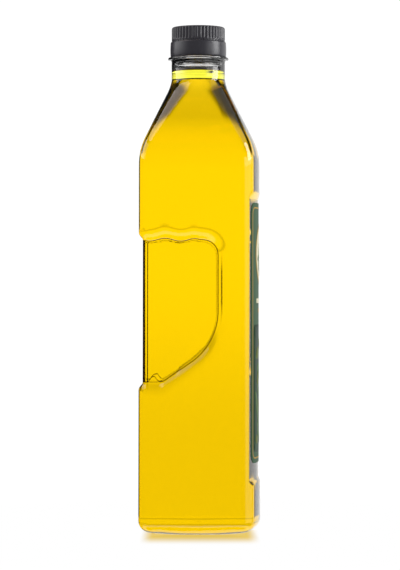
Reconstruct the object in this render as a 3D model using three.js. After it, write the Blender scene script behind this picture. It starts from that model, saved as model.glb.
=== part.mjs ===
// One litre olive oil bottle of clear plastic, with a screw cap and a front label.
// Millimetres. The bottle stands on z = 0, its labelled front faces +X and its grip is at the back, -X.

import * as THREE from 'three';

const degrees = Math.PI / 180;

// Heights, from the foot to the top of the cap
const totalHeight = 288;
const capFoot = 280.1;
const bandTop = 279.8;
const bandFoot = 270.8;
const ringTop = 270.5;
const ringFoot = 269.2;
const boreFoot = 266;
const oilLevel = 262.5;
const neckFoot = 257.5;
const rimHeight = 285.8;

// Body, measured from the axis of the neck
const backDepth = 33.4;
const sideDepth = 33.0;
const frontDepth = 35.1;
const bodyDraft = 0.35;
const backCornerRadius = 5.9;
const frontCornerRadius = 8.6;
const frontArcAngle = 14.3 * degrees;
const footRadius = 8;
const footCornerRadius = 2;
const footCornerLift = 0.8;
const footCornerStart = 27;
const footCornerReach = 10;
const wall = 1.0;
const fitGap = 0.3;

// Shoulder, a straight slope between two arcs
const shoulderSlope = 24.9 * degrees;
const neckBreak = 11 * degrees;
const neckBlend = 32;
const shoulderBlend = 36;

// Neck
const neckRadius = 15.35;
const ringRadius = 17.3;
const finishRadius = 13.3;
const boreRadius = 11.9;

// Push-up in the middle of the base
const pushUpRadius = 20;
const pushUpHeight = 5.5;

// Grip, a flat recess round the back
const gripTop = 165.8;
const gripFoot = 85;
const gripFront = 11.1;
const gripSideDepth = 2.8;
const gripBackDepth = 2.3;
const gripValleyX = -11;
const gripValleyDepth = 0.6;
const gripValleyReach = 14;
const gripSideBand = 6.8;
const gripBackBand = 3.2;
const gripBandPower = 1.5;
const gripRampAngle = 34.5 * degrees;
const gripRampX = -8;
const gripRampZ = 94.4;
const gripTopCorner = 8.5;
const gripRampCorner = 35;
const gripRampTop = 127.4;
const gripFootCorner = 6;

// Label panel, a rounder face sunk into the front, and the label on it
const panelFoot = 28;
const panelTop = 192.6;
const panelStep = 3.9;
const panelRadius = 88;
const panelDepth = 0.75;
const labelFoot = 39.9;
const labelTop = 186.9;
const labelHalfWidth = 28.8;
const labelCorner = 6;
const labelThickness = 0.25;

// Cap and tamper band
const capRadius = 15.25;
const ribDepth = 0.5;
const ribCount = 46;
const capBore = 13.9;
const capRoof = 1.5;
const capEdge = 0.95;
const bandBore = 13.8;
const bandRadius = 16.05;
const bandBulge = 0.22;
const bandWaist = 0.45;

// Facets
const cornerSteps = 3;
const pushUpSteps = 3;
const footSteps = 4;
const bandFaces = 48;
const bandSteps = 6;
const labelColumns = 10;
const labelCornerSteps = 3;

const mix = (a, b, t) => a + (b - a) * t;
const clamp01 = (t) => Math.min(Math.max(t, 0), 1);
const smoothStep = (t) => clamp01(t) ** 2 * (3 - 2 * clamp01(t));

// Where the shoulder's straight slope ends, above and below, and where the body begins
function shoulderJoints() {
  const slopeTopHalf = neckRadius + neckBlend * (Math.cos(neckBreak) - Math.cos(shoulderSlope));
  const slopeTopZ = neckFoot - neckBlend * (Math.sin(shoulderSlope) - Math.sin(neckBreak));
  const slopeFootHalf = backDepth - shoulderBlend * (1 - Math.cos(shoulderSlope));
  const slopeFootZ = slopeTopZ - (slopeFootHalf - slopeTopHalf) / Math.tan(shoulderSlope);
  const bodyTopZ = slopeFootZ - shoulderBlend * Math.sin(shoulderSlope);
  return { slopeTopHalf, slopeTopZ, slopeFootZ, bodyTopZ };
}

const shoulder = shoulderJoints();

// Half width at a height, from the neck at the top to the body below
function halfWidthAt(z) {
  const { slopeTopHalf, slopeTopZ, slopeFootZ, bodyTopZ } = shoulder;
  if (z >= neckFoot) return neckRadius;
  if (z >= slopeTopZ) {
    const sine = Math.sin(neckBreak) + (neckFoot - z) / neckBlend;
    return neckRadius + neckBlend * (Math.cos(neckBreak) - Math.sqrt(1 - sine ** 2));
  }
  if (z >= slopeFootZ) return slopeTopHalf + (slopeTopZ - z) * Math.tan(shoulderSlope);
  if (z >= bodyTopZ) {
    const sine = (z - bodyTopZ) / shoulderBlend;
    return backDepth - shoulderBlend * (1 - Math.sqrt(1 - sine ** 2));
  }
  return backDepth + bodyDraft * (1 - z / bodyTopZ);
}

// Sizes of the horizontal section: a rounded square in the body that turns into the round neck
function sectionSizes(z, shrink) {
  const fullness = (halfWidthAt(z) - neckRadius) / (backDepth - neckRadius);
  const roundness = Math.max(1 - fullness, 0) ** 2;
  const cornerLoss = (radius) => shrink * (radius - footCornerRadius) / footRadius;
  return {
    front: mix(neckRadius, frontDepth, fullness) - shrink,
    side: mix(neckRadius, sideDepth, fullness) - shrink,
    back: mix(neckRadius, backDepth, fullness) - shrink,
    frontCorner: mix(frontCornerRadius, neckRadius, roundness) - cornerLoss(frontCornerRadius),
    backCorner: mix(backCornerRadius, neckRadius, roundness) - cornerLoss(backCornerRadius),
  };
}

// Centres and joints of the section's arcs, on the side where y is positive
function sectionArcs(sizes) {
  const { front, side, back, frontCorner, backCorner } = sizes;
  const frontRadius = frontCorner + (side - frontCorner) / Math.sin(frontArcAngle);
  const frontCentre = front - frontRadius;
  const frontEndX = frontCentre + frontRadius * Math.cos(frontArcAngle);
  const cornerX = frontEndX - frontCorner * Math.cos(frontArcAngle);
  const backX = backCorner - back;
  return {
    frontRadius,
    frontCentre,
    cornerX,
    backX,
    joints: [
      Math.atan2(frontRadius * Math.sin(frontArcAngle), frontEndX),
      Math.atan2(side, cornerX),
      Math.atan2(side, backX),
      Math.atan2(side - backCorner, -back),
    ],
  };
}

// Point and outward direction where a ray from the axis leaves a circle
function rayToCircle(angle, centreX, centreY, radius) {
  const along = centreX * Math.cos(angle) + centreY * Math.sin(angle);
  const reach = along + Math.sqrt(along ** 2 - centreX ** 2 - centreY ** 2 + radius ** 2);
  const x = reach * Math.cos(angle);
  const y = reach * Math.sin(angle);
  return { x, y, nx: (x - centreX) / radius, ny: (y - centreY) / radius };
}

// Point and outward direction of the section at an angle round the axis
function sectionPoint(sizes, angle) {
  const arcs = sectionArcs(sizes);
  const [frontEnd, sideStart, sideEnd, backStart] = arcs.joints;
  const turn = Math.abs(angle);
  const mirror = angle < 0 ? -1 : 1;
  let point;
  if (turn <= frontEnd) {
    point = rayToCircle(turn, arcs.frontCentre, 0, arcs.frontRadius);
  } else if (turn <= sideStart) {
    point = rayToCircle(turn, arcs.cornerX, sizes.side - sizes.frontCorner, sizes.frontCorner);
  } else if (turn <= sideEnd) {
    point = { x: sizes.side / Math.tan(turn), y: sizes.side, nx: 0, ny: 1 };
  } else if (turn <= backStart) {
    point = rayToCircle(turn, arcs.backX, sizes.side - sizes.backCorner, sizes.backCorner);
  } else {
    point = { x: -sizes.back, y: -sizes.back * Math.tan(turn), nx: -1, ny: 0 };
  }
  return { x: point.x, y: mirror * point.y, nx: point.nx, ny: mirror * point.ny };
}

// Distance outside two straight edges whose corner is an arc, negative inside
function roundedCorner(first, second, turnCosine, radius) {
  const u = first + radius;
  const v = second + radius;
  if (u > turnCosine * v && v > turnCosine * u) {
    return Math.sqrt((u * u + v * v - 2 * u * v * turnCosine) / (1 - turnCosine ** 2)) - radius;
  }
  return Math.max(first, second);
}

// Depth of the grip at a point of the side: flat floor inside its outline, a curved band round it
function gripDepth(x, z, nx) {
  const above = z - gripTop;
  const ahead = x - gripFront;
  const below = gripFoot - z;
  const ramp = (x - gripRampX) * Math.sin(gripRampAngle) - (z - gripRampZ) * Math.cos(gripRampAngle);
  const outside = Math.max(
    roundedCorner(above, ahead, 0, gripTopCorner),
    roundedCorner(ahead, ramp, Math.sin(gripRampAngle), gripRampCorner),
    roundedCorner(ramp, below, Math.cos(gripRampAngle), gripFootCorner),
  );
  const valley = gripValleyDepth * clamp01(1 - Math.abs(x - gripValleyX) / gripValleyReach);
  const floor = mix(gripSideDepth + valley, gripBackDepth, Math.abs(nx));
  const band = mix(gripSideBand, gripBackBand, Math.abs(nx));
  return floor * clamp01(1 - outside / band) ** gripBandPower;
}

// How far the label panel lies behind the body's front at a point
function panelRecess(x, y, z) {
  if (x <= 0) return 0;
  const share = smoothStep((z - panelFoot) / panelStep) * smoothStep((panelTop - z) / panelStep);
  const panelX = frontDepth - panelDepth - panelRadius + Math.sqrt(panelRadius ** 2 - y ** 2);
  return share * Math.max(x - panelX, 0);
}

// Point of the bottle's surface, or of one that lies inset from it by a distance
function bottlePoint(angle, z, inset, shrink = 0) {
  const point = sectionPoint(sectionSizes(z, shrink), angle);
  const inward = inset + gripDepth(point.x, z, point.nx);
  return new THREE.Vector3(
    point.x - point.nx * inward - panelRecess(point.x, point.y, z),
    point.y - point.ny * inward,
    z,
  );
}

// Angles of the facet edges, set where the body's flats, corners, grip and panel begin and end
function facetAngles() {
  const sizes = sectionSizes(0, 0);
  const arcs = sectionArcs(sizes);
  const [frontEnd, sideStart, sideEnd, backStart] = arcs.joints;
  const sideAngle = (x) => Math.atan2(sizes.side, x);
  const gripCornerX = gripFront - gripTopCorner;
  const stops = [
    [0, frontEnd, 2],
    [frontEnd, sideStart, cornerSteps],
    [sideStart, sideAngle(gripFront + gripSideBand), 1],
    [sideAngle(gripFront + gripSideBand), sideAngle(gripFront), 2],
    [sideAngle(gripFront), sideAngle(gripCornerX), 2],
    [sideAngle(gripCornerX), sideAngle(gripValleyX), 2],
    [sideAngle(gripValleyX), sideEnd, 2],
    [sideEnd, backStart, cornerSteps],
    [backStart, Math.PI, 2],
  ];
  const half = [0];
  for (const [start, end, steps] of stops) {
    for (let i = 1; i <= steps; i += 1) half.push(mix(start, end, i / steps));
  }
  const mirrored = half.slice(1, -1).reverse().map((angle) => -angle);
  return [...half, ...mirrored];
}

const angles = facetAngles();

function circleRow(radius, z) {
  return angles.map((angle) => new THREE.Vector3(radius * Math.cos(angle), radius * Math.sin(angle), z));
}

function bottleRow(z, inset) {
  return angles.map((angle) => bottlePoint(angle, z, inset));
}

// Rows of the base: the push-up, the flat ring that the bottle stands on and the rounded foot,
// whose four corners are a little higher than the ring
function baseRows(inset) {
  const rows = [];
  for (let step = 1; step <= pushUpSteps; step += 1) {
    const share = step / pushUpSteps;
    rows.push(circleRow(pushUpRadius * share, inset + pushUpHeight * (1 - share ** 2)));
  }
  const radius = footRadius - inset;
  for (let step = 0; step < footSteps; step += 1) {
    const turn = step * 90 * degrees / footSteps;
    const shrink = radius * (1 - Math.sin(turn));
    const z = footRadius - radius * Math.cos(turn);
    const row = angles.map((angle) => bottlePoint(angle, z, inset, shrink));
    for (const point of row) {
      const outward = smoothStep((Math.hypot(point.x, point.y) - footCornerStart) / footCornerReach);
      point.z += footCornerLift * outward * Math.cos(turn);
    }
    rows.push(row);
  }
  return rows;
}

// Heights of the rows between foot and neck, closest where the surface bends
function bodyHeights() {
  const spans = [
    [footRadius, panelFoot, 1],
    [panelFoot, panelFoot + panelStep, 2],
    [panelFoot + panelStep, gripFoot - gripSideBand, 1],
    [gripFoot - gripSideBand, gripFoot - gripBackBand, 1],
    [gripFoot - gripBackBand, gripFoot, 2],
    [gripFoot, gripRampTop, 7],
    [gripRampTop, gripTop - gripTopCorner, 1],
    [gripTop - gripTopCorner, gripTop, 2],
    [gripTop, gripTop + gripBackBand, 2],
    [gripTop + gripBackBand, gripTop + gripSideBand, 1],
    [gripTop + gripSideBand, panelTop - panelStep, 1],
    [panelTop - panelStep, panelTop, 2],
    [panelTop, shoulder.bodyTopZ, 1],
    [shoulder.bodyTopZ, shoulder.slopeFootZ, 4],
    [shoulder.slopeFootZ, shoulder.slopeTopZ, 2],
    [shoulder.slopeTopZ, neckFoot, 3],
  ];
  const heights = [footRadius];
  for (const [start, end, steps] of spans) {
    for (let i = 1; i <= steps; i += 1) heights.push(mix(start, end, i / steps));
  }
  return heights;
}

// Two triangles between neighbouring rows, split the same way up and down so that walls stay even
function quadFaces(points, low, lowNext, high, highNext) {
  if (points[high].z < points[low].z) return [low, lowNext, high, lowNext, highNext, high];
  return [low, lowNext, highNext, low, highNext, high];
}

function solidFrom(points, faces) {
  const geometry = new THREE.BufferGeometry();
  const coordinates = points.flatMap((point) => point.toArray());
  geometry.setAttribute('position', new THREE.Float32BufferAttribute(coordinates, 3));
  geometry.setIndex(faces);
  geometry.computeVertexNormals();
  return geometry;
}

// Closed body from rows of points, with a fan over the first and the last row
function closedLoft(rows, firstPole, lastPole) {
  const count = rows[0].length;
  const points = [firstPole, ...rows.flat(), lastPole];
  const last = points.length - 1;
  const faces = [];
  for (let j = 0; j < count; j += 1) {
    const next = (j + 1) % count;
    faces.push(0, 1 + next, 1 + j);
    for (let i = 0; i + 1 < rows.length; i += 1) {
      const low = 1 + i * count;
      const high = low + count;
      faces.push(...quadFaces(points, low + j, low + next, high + j, high + next));
    }
    faces.push(last - count + j, last - count + next, last);
  }
  return solidFrom(points, faces);
}

function axisPoint(z) {
  return new THREE.Vector3(0, 0, z);
}

// The bottle: outside from the base to the rim, then the inside back down to the floor
function bottleGeometry() {
  const outside = [
    ...baseRows(0),
    ...bodyHeights().map((z) => bottleRow(z, 0)),
    circleRow(neckRadius, ringFoot),
    circleRow(ringRadius, ringFoot),
    circleRow(ringRadius, ringTop),
    circleRow(finishRadius, ringTop),
    circleRow(finishRadius, rimHeight),
  ];
  const inside = [
    ...baseRows(wall),
    ...bodyHeights().map((z) => bottleRow(z, wall)),
    circleRow(neckRadius - wall, boreFoot),
    circleRow(boreRadius, ringTop),
    circleRow(boreRadius, rimHeight),
  ];
  return closedLoft(
    [...outside, ...inside.reverse()],
    axisPoint(pushUpHeight),
    axisPoint(pushUpHeight + wall),
  );
}

// The oil: fills the bottle up to its level, clear of the wall by the fitting gap
function oilGeometry() {
  const inset = wall + fitGap;
  const rows = [
    ...baseRows(inset),
    ...bodyHeights().map((z) => bottleRow(z, inset)),
    circleRow(neckRadius - inset, oilLevel),
  ];
  return closedLoft(rows, axisPoint(pushUpHeight + inset), axisPoint(oilLevel));
}

// The cap: a ribbed cup over the mouth
function capGeometry() {
  const capRow = (radius, z, grooveDepth = 0) => Array.from({ length: 2 * ribCount }, (_, i) => {
    const turn = i * Math.PI / ribCount;
    const reach = radius - (i % 2) * grooveDepth;
    return new THREE.Vector3(reach * Math.cos(turn), reach * Math.sin(turn), z);
  });
  const roofFoot = totalHeight - capRoof;
  const rows = [
    capRow(capBore, roofFoot),
    capRow(capBore, capFoot),
    capRow(capRadius, capFoot, ribDepth),
    capRow(capRadius, totalHeight - capEdge, ribDepth),
    capRow(capRadius - capEdge, totalHeight),
  ];
  return closedLoft(rows, axisPoint(roofFoot), axisPoint(totalHeight));
}

// The tamper band: a smooth ring below the cap, slightly barrel shaped
function bandGeometry() {
  const profile = [];
  for (let i = 0; i <= bandSteps; i += 1) {
    const share = i / bandSteps;
    const radius = bandRadius - bandBulge * (2 * (share - bandWaist)) ** 2;
    profile.push(new THREE.Vector2(radius, mix(bandFoot, bandTop, share)));
  }
  profile.push(new THREE.Vector2(bandBore, bandTop), new THREE.Vector2(bandBore, bandFoot));
  profile.push(profile[0].clone());
  const geometry = new THREE.LatheGeometry(profile, bandFaces);
  return geometry.rotateX(90 * degrees);
}

// The label: a thin curved sheet with rounded corners, in front of the panel
function labelGeometry() {
  const backRadius = panelRadius + fitGap;
  const centreX = frontDepth - panelDepth - panelRadius;
  const levels = [];
  for (let i = 0; i <= labelCornerSteps; i += 1) {
    levels.push(labelCorner * (1 - Math.cos(i * 90 * degrees / labelCornerSteps)));
  }
  const heights = [
    ...levels.map((rise) => labelFoot + rise),
    ...levels.map((drop) => labelTop - drop).reverse(),
  ];
  const halfWidth = (z) => {
    const intoCorner = labelCorner - Math.min(z - labelFoot, labelTop - z, labelCorner);
    return labelHalfWidth - labelCorner + Math.sqrt(labelCorner ** 2 - intoCorner ** 2);
  };
  const sheetRow = (z) => {
    const row = [];
    const place = (radius, share) => {
      const y = share * halfWidth(z);
      return new THREE.Vector3(centreX + Math.sqrt(radius ** 2 - y ** 2), y, z);
    };
    for (let i = 0; i <= labelColumns; i += 1) {
      row.push(place(backRadius + labelThickness, 2 * i / labelColumns - 1));
    }
    for (let i = labelColumns; i >= 0; i -= 1) {
      row.push(place(backRadius, 2 * i / labelColumns - 1));
    }
    return row;
  };
  return closedStrip(heights.map(sheetRow), labelColumns + 1);
}

// Closed body from rows that each run along the front face and back along the rear face
function closedStrip(rows, columns) {
  const count = 2 * columns;
  const points = rows.flat();
  const faces = [];
  for (let i = 0; i + 1 < rows.length; i += 1) {
    for (let j = 0; j < count; j += 1) {
      const next = (j + 1) % count;
      const low = i * count;
      const high = low + count;
      faces.push(low + j, low + next, high + next);
      faces.push(low + j, high + next, high + j);
    }
  }
  const top = (rows.length - 1) * count;
  for (let j = 0; j + 1 < columns; j += 1) {
    const behind = count - 1 - j;
    faces.push(j, behind, behind - 1);
    faces.push(j, behind - 1, j + 1);
    faces.push(top + j, top + j + 1, top + behind - 1);
    faces.push(top + j, top + behind - 1, top + behind);
  }
  return solidFrom(points, faces);
}

function piece(name, geometry, color, roughness, opacity = 1) {
  const material = new THREE.MeshStandardMaterial({
    color,
    roughness,
    metalness: 0,
    opacity,
    transparent: opacity < 1,
  });
  const mesh = new THREE.Mesh(geometry, material);
  mesh.name = name;
  return mesh;
}

const group = new THREE.Group();
group.add(piece('bottle', bottleGeometry(), 0xe9ecea, 0.08, 0.3));
group.add(piece('oil', oilGeometry(), 0xf6c800, 0.1, 0.85));
group.add(piece('cap', capGeometry(), 0x3c3b40, 0.4));
group.add(piece('tamper_band', bandGeometry(), 0x3c3b40, 0.35));
group.add(piece('front_label', labelGeometry(), 0x335f3f, 0.45));

// The middle of the whole depth is the origin, so the neck's axis lies a little behind it
group.position.x = (backDepth - frontDepth) / 2;

export default group;
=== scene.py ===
# One litre olive oil bottle on a white studio floor, seen from the side of its grip
import math
from functools import partial

import bpy
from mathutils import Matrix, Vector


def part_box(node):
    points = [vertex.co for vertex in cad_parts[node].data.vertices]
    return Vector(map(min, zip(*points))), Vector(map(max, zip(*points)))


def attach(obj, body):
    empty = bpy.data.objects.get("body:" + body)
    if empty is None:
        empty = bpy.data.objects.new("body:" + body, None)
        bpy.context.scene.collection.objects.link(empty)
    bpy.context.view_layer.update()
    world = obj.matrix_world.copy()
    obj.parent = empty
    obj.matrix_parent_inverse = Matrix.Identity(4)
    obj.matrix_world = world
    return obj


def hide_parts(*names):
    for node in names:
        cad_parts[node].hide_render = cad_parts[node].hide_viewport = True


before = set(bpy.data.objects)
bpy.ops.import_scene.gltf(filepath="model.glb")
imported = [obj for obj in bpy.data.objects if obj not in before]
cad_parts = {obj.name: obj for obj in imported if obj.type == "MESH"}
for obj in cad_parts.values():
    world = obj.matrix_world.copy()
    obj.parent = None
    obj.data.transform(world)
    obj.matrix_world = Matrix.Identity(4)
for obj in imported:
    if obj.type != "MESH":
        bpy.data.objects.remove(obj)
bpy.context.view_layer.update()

mm = 0.001
degree = math.pi / 180
capLow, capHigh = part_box("cap")
bandLow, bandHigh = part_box("tamper_band")
labelLow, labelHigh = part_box("front_label")
axisX = (capLow[0] + capHigh[0]) / 2    # the neck's axis, which every section is measured from


# Helpers

def mix(a, b, t):
    return a + (b - a) * t


def clamp01(t):
    return min(max(t, 0.0), 1.0)


def smoothStep(t):
    t = clamp01(t)
    return t * t * (3 - 2 * t)


def steps(start, end, spacing):
    # values from start (left out) to end, no further apart than the spacing
    count = max(1, math.ceil(abs(end - start) / spacing))
    return [mix(start, end, i / count) for i in range(1, count + 1)]


def linear(hexColour):
    # sRGB hex to the linear colour that the shaders work in
    parts = [int(hexColour[i:i + 2], 16) / 255 for i in (0, 2, 4)]
    return tuple(p / 12.92 if p <= 0.04045 else ((p + 0.055) / 1.055) ** 2.4
                 for p in parts) + (1.0,)


def addNode(tree, kind, inputs=(), **settings):
    # one node with its settings; its inputs are values, sockets or nodes with their first output
    node = tree.nodes.new(kind)
    for name, value in settings.items():
        setattr(node, name, value)
    for key, value in inputs.items() if isinstance(inputs, dict) else enumerate(inputs):
        if isinstance(value, bpy.types.Node):
            value = value.outputs[0]
        if isinstance(value, bpy.types.NodeSocket):
            tree.links.new(value, node.inputs[key])
        else:
            node.inputs[key].default_value = value
    return node


def newMaterial(name):
    # an empty material and the function that adds a node to it
    material = bpy.data.materials.new(name)
    material.use_nodes = True
    material.node_tree.nodes.clear()
    return material, partial(addNode, material.node_tree)


def finishMaterial(add, surface, volume=None):
    sockets = {"Surface": surface}
    if volume:
        sockets["Volume"] = volume
    add("ShaderNodeOutputMaterial", sockets)


def newTree(name, **inputs):
    # a geometry tree with named inputs, the function that adds a node to it, and those inputs
    tree = bpy.data.node_groups.new(name, "GeometryNodeTree")
    face = tree.interface
    face.new_socket("Geometry", in_out="INPUT", socket_type="NodeSocketGeometry")
    for kind, names in inputs.items():
        for inputName in names:
            face.new_socket(inputName, in_out="INPUT", socket_type="NodeSocket" + kind)
    face.new_socket("Finish", in_out="INPUT", socket_type="NodeSocketMaterial")
    face.new_socket("Geometry", in_out="OUTPUT", socket_type="NodeSocketGeometry")
    add = partial(addNode, tree)
    return tree, add, add("NodeGroupInput").outputs


def finishTree(add, given, geometry):
    real = add("GeometryNodeRealizeInstances", [geometry])
    done = add("GeometryNodeSetMaterial", {"Geometry": real, "Material": given["Finish"]})
    add("NodeGroupOutput", [done])


def meshObject(name, points, faces, material):
    # smooth mesh from points in millimetres from the neck's axis
    mesh = bpy.data.meshes.new(name)
    mesh.from_pydata([(axisX + x * mm, y * mm, z * mm) for x, y, z in points], [], faces)
    mesh.materials.append(material)
    mesh.polygons.foreach_set("use_smooth", [True] * len(mesh.polygons))
    mesh.update()
    item = bpy.data.objects.new(name, mesh)
    bpy.context.scene.collection.objects.link(item)
    return item


def loft(rows, firstPole, lastPole):
    # closed body from rings of points, with a fan over the first and the last ring
    count = len(rows[0])
    points = [firstPole] + [p for row in rows for p in row] + [lastPole]
    last = len(points) - 1
    faces = []
    for j in range(count):
        k = (j + 1) % count
        faces.append((0, 1 + k, 1 + j))
        for i in range(len(rows) - 1):
            low = 1 + i * count
            high = low + count
            faces.append((low + j, low + k, high + k, high + j))
        faces.append((last - count + j, last - count + k, last))
    return points, faces


def loop(rows):
    # closed ring-shaped body, in which the last ring of points is joined to the first
    count = len(rows[0])
    faces = []
    for i in range(len(rows)):
        low, high = i * count, (i + 1) % len(rows) * count
        faces += [(low + j, low + (j + 1) % count, high + (j + 1) % count, high + j)
                  for j in range(count)]
    return [p for row in rows for p in row], faces


def stageObject(name, points, faces, material):
    # part of the studio, which light that passes through the bottle doesn't meet
    mesh = bpy.data.meshes.new(name)
    mesh.from_pydata(points, [], faces)
    mesh.materials.append(material)
    item = bpy.data.objects.new(name, mesh)
    bpy.context.scene.collection.objects.link(item)
    item.visible_transmission = False
    return item


def dress(item, slotName, *nodes):
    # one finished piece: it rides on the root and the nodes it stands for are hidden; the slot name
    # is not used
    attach(item, "root")
    if nodes:
        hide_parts(*nodes)


# Bottle, sizes in millimetres from the neck's axis and from the floor

bottle = {
    "backDepth": 33.4, "sideDepth": 33.0, "frontDepth": 35.1, "draft": 0.35,
    "backCorner": 5.9, "frontCorner": 8.6, "frontArc": 14.3 * degree, "roundPower": 1.6,
    "footRadius": 8.0, "footCorner": 2.0,
    "footLift": 0.8, "footLiftStart": 27.0, "footLiftReach": 10.0,
    "pushUpRadius": 20.0, "pushUpHeight": 5.5,
    "slope": 24.9 * degree, "neckBreak": 11.0 * degree, "neckBlend": 32.0,
    "shoulderBlend": 36.0, "sideBlend": 60.0,
    "neckRadius": 15.35, "neckFoot": 257.5, "rim": 285.8,
    "ringRadius": 17.3, "ringFoot": 269.2, "ringTop": 270.5, "edge": 0.35,
    "finishRadius": 13.3, "boreRadius": 11.9, "boreFoot": 267.6, "boreStart": 269.6,
    "boreBend": 0.15, "boreEase": 0.08,
    "bodyWall": 0.5, "neckWall": 1.1, "wallStart": 225.0,
}
grip = {
    "top": 165.8, "foot": 85.0, "front": 11.1, "sideDepth": 3.3, "backDepth": 2.3,
    "valleyX": -11.0, "valleyDepth": 0.6, "valleyReach": 14.0,
    "sideBand": 7.4, "backBand": 3.2, "sidePower": 2.0, "backPower": 1.5,
    "wave": 0.8, "waveX": -18.7, "waveLength": 17.6, "waveEnd": 3.0, "waveFade": 6.0,
    "notchX": -25.2, "notchWidth": 3.0, "notchHeight": 4.0, "notchLift": 1.0,
    "rampAngle": 34.5 * degree, "rampX": -8.0, "rampZ": 94.4, "rampTop": 127.4,
    "topCorner": 8.5, "rampCorner": 35.0, "footCorner": 6.0, "unmarked": 99.0,
}
panel = {"foot": 28.0, "top": 192.6, "step": 3.9, "radius": 88.0, "depth": 0.75}
detail = {
    "fine": 0.8, "medium": 1.6, "coarse": 7.0,
    "cornerSteps": 14, "footSteps": 14, "backSteps": 10, "pushUpSteps": 10,
}


def shoulderProfile(depth, blend):
    # joints of one face's outline: neck blend, straight slope, shoulder blend, upright body
    b = bottle
    topHalf = b["neckRadius"] + b["neckBlend"] * (math.cos(b["neckBreak"]) - math.cos(b["slope"]))
    topZ = b["neckFoot"] - b["neckBlend"] * (math.sin(b["slope"]) - math.sin(b["neckBreak"]))
    footHalf = depth - blend * (1 - math.cos(b["slope"]))
    footZ = topZ - (footHalf - topHalf) / math.tan(b["slope"])
    return {"depth": depth, "blend": blend, "topHalf": topHalf, "topZ": topZ, "footZ": footZ,
            "bodyZ": footZ - blend * math.sin(b["slope"])}


backProfile = shoulderProfile(bottle["backDepth"], bottle["shoulderBlend"])
sideProfile = shoulderProfile(bottle["sideDepth"], bottle["sideBlend"])


def depthAt(profile, z):
    b, p = bottle, profile
    if z >= b["neckFoot"]:
        return b["neckRadius"]
    if z >= p["topZ"]:
        sine = math.sin(b["neckBreak"]) + (b["neckFoot"] - z) / b["neckBlend"]
        outward = math.cos(b["neckBreak"]) - math.sqrt(1 - sine ** 2)
        return b["neckRadius"] + b["neckBlend"] * outward
    if z >= p["footZ"]:
        return p["topHalf"] + (p["topZ"] - z) * math.tan(b["slope"])
    if z >= p["bodyZ"]:
        sine = (z - p["bodyZ"]) / p["blend"]
        return p["depth"] - p["blend"] * (1 - math.sqrt(1 - sine ** 2))
    return p["depth"] + b["draft"] * (1 - z / backProfile["bodyZ"])


def sectionSizes(z, shrink):
    # rounded square in the body that turns into the round neck
    b = bottle
    back = depthAt(backProfile, z)
    fullness = (back - b["neckRadius"]) / (b["backDepth"] - b["neckRadius"])
    roundness = max(1 - fullness, 0) ** b["roundPower"]
    lost = shrink / b["footRadius"]
    return {
        "front": mix(b["neckRadius"], b["frontDepth"], fullness) - shrink,
        "side": depthAt(sideProfile, z) - shrink,
        "back": back - shrink,
        "frontCorner": mix(b["frontCorner"], b["neckRadius"], roundness)
        - lost * (b["frontCorner"] - b["footCorner"]),
        "backCorner": mix(b["backCorner"], b["neckRadius"], roundness)
        - lost * (b["backCorner"] - b["footCorner"]),
    }


def sectionArcs(s):
    arc = bottle["frontArc"]
    radius = s["frontCorner"] + (s["side"] - s["frontCorner"]) / math.sin(arc)
    centre = s["front"] - radius
    endX = centre + radius * math.cos(arc)
    cornerX = endX - s["frontCorner"] * math.cos(arc)
    backX = s["backCorner"] - s["back"]
    joints = (
        math.atan2(radius * math.sin(arc), endX),
        math.atan2(s["side"], cornerX),
        math.atan2(s["side"], backX),
        math.atan2(s["side"] - s["backCorner"], -s["back"]),
    )
    return radius, centre, cornerX, backX, joints


def rayToCircle(angle, centreX, centreY, radius):
    along = centreX * math.cos(angle) + centreY * math.sin(angle)
    reach = along + math.sqrt(along ** 2 - centreX ** 2 - centreY ** 2 + radius ** 2)
    x = reach * math.cos(angle)
    y = reach * math.sin(angle)
    return x, y, (x - centreX) / radius, (y - centreY) / radius


def sectionPoint(s, arcs, angle):
    # point and outward direction of the section at an angle round the axis
    radius, centre, cornerX, backX, joints = arcs
    turn = abs(angle)
    side = -1 if angle < 0 else 1
    if turn <= joints[0]:
        x, y, nx, ny = rayToCircle(turn, centre, 0, radius)
    elif turn <= joints[1]:
        x, y, nx, ny = rayToCircle(turn, cornerX, s["side"] - s["frontCorner"], s["frontCorner"])
    elif turn <= joints[2]:
        x, y, nx, ny = s["side"] / math.tan(turn), s["side"], 0.0, 1.0
    elif turn <= joints[3]:
        x, y, nx, ny = rayToCircle(turn, backX, s["side"] - s["backCorner"], s["backCorner"])
    else:
        x, y, nx, ny = -s["back"], -s["back"] * math.tan(turn), -1.0, 0.0
    return x, side * y, nx, side * ny


def roundedCorner(first, second, turnCosine, radius):
    # distance outside two straight edges whose corner is an arc, negative inside
    u = first + radius
    v = second + radius
    if u > turnCosine * v and v > turnCosine * u:
        return math.sqrt((u * u + v * v - 2 * u * v * turnCosine) / (1 - turnCosine ** 2)) - radius
    return max(first, second)


def gripEdge(x, z, notch=0.0):
    # distance outside the outline of the grip, negative inside
    g = grip
    wave = g["wave"] * math.cos(2 * math.pi * (x - g["waveX"]) / g["waveLength"])
    wave *= clamp01((g["waveEnd"] - x) / g["waveFade"])
    ahead = x - g["front"]
    ramp = (x - g["rampX"]) * math.sin(g["rampAngle"]) - (z - g["rampZ"]) * math.cos(g["rampAngle"])
    return max(
        roundedCorner(z - g["top"] - wave, ahead, 0, g["topCorner"]),
        roundedCorner(ahead, ramp, math.sin(g["rampAngle"]), g["rampCorner"]),
        roundedCorner(ramp, g["foot"] + notch - z, math.cos(g["rampAngle"]), g["footCorner"]),
    )


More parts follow.
